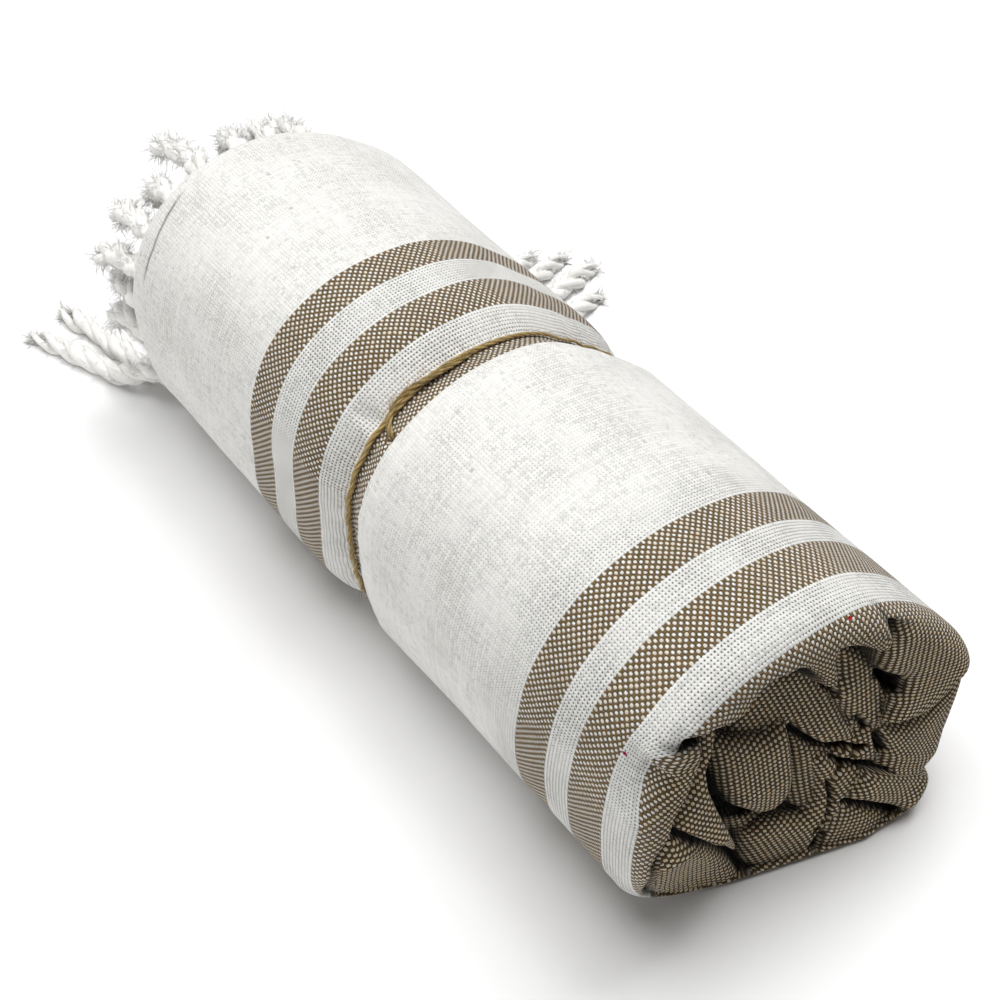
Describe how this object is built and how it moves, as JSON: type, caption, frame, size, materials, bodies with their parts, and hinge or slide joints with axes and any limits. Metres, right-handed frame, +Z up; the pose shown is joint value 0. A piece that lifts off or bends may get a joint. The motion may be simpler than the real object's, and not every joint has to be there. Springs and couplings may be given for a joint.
{
  "type": "rolled bath towel",
  "caption": "Flat-woven striped cotton bath towel with twisted fringe, folded, rolled up and tied round the middle with thin twine.",
  "frame": {"origin": "middle of the underside of the bounding box, on the surface that the towel lies on", "axes": "+X along the roll towards its folded end, +Z up, -Y the side away from the fringe that lies behind it"},
  "size_m": [0.2954, 0.1724, 0.0901],
  "materials": {
    "cotton_cloth": "matt plain weave, off-white with taupe weft stripes",
    "jute_twine": "dry, slightly hairy two-ply twine",
    "cotton_yarn": "soft twisted undyed yarn"
  },
  "bodies": {
    "root": {"towel_roll": "cotton_cloth", "tie": "jute_twine", "fringe_outer": "cotton_yarn", "fringe_inner": "cotton_yarn", "fringe_corner": "cotton_yarn", "fringe_back": "cotton_yarn"}
  },
  "joints": []
}
